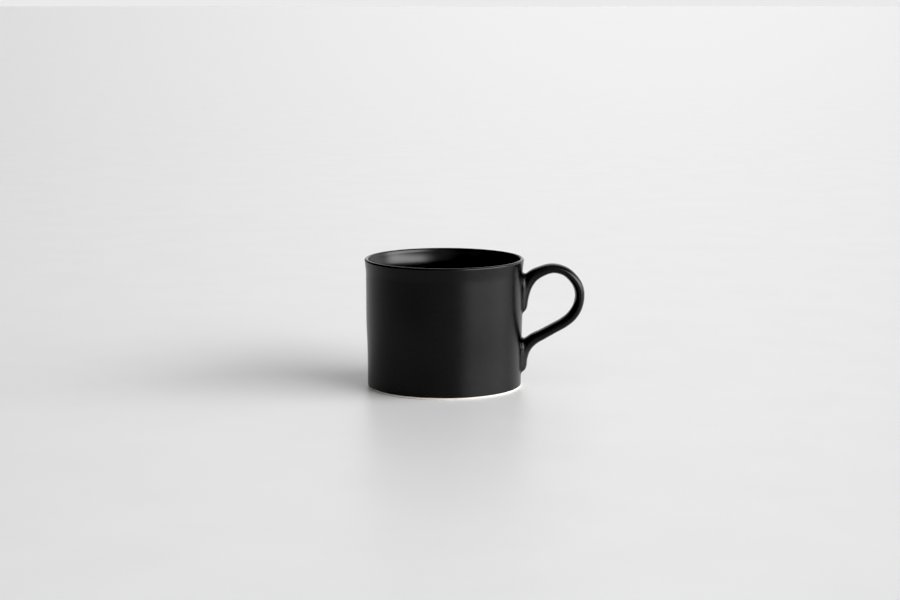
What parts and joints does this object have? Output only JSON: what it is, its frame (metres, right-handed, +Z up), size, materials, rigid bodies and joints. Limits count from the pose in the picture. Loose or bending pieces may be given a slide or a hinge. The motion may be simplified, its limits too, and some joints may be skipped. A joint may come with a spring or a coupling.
{
  "type": "mug",
  "caption": "Low, wide ceramic mug with a slightly flared lip, a teardrop strap handle, a satin black glaze and a bare clay foot ring.",
  "frame": {"origin": "on the table plane, under the middle of the mug's bounding box; the cup's own axis is at x = -16.5 mm, y = 0", "axes": "+Z up out of the mouth, +X from the cup towards the handle, the handle lies in the XZ plane"},
  "size_m": [0.1191, 0.086, 0.0698],
  "materials": {
    "bare_clay": "unglazed, matte, pale",
    "black_glaze": "satin matte black with a fine grain"
  },
  "bodies": {
    "root": {"cup_body": "bare_clay", "handle_strap": "bare_clay", "upper_joint": "bare_clay", "lower_joint": "bare_clay", "outer_glaze": "black_glaze", "inner_glaze": "black_glaze", "handle_glaze": "black_glaze", "base_glaze": "black_glaze"}
  },
  "joints": []
}
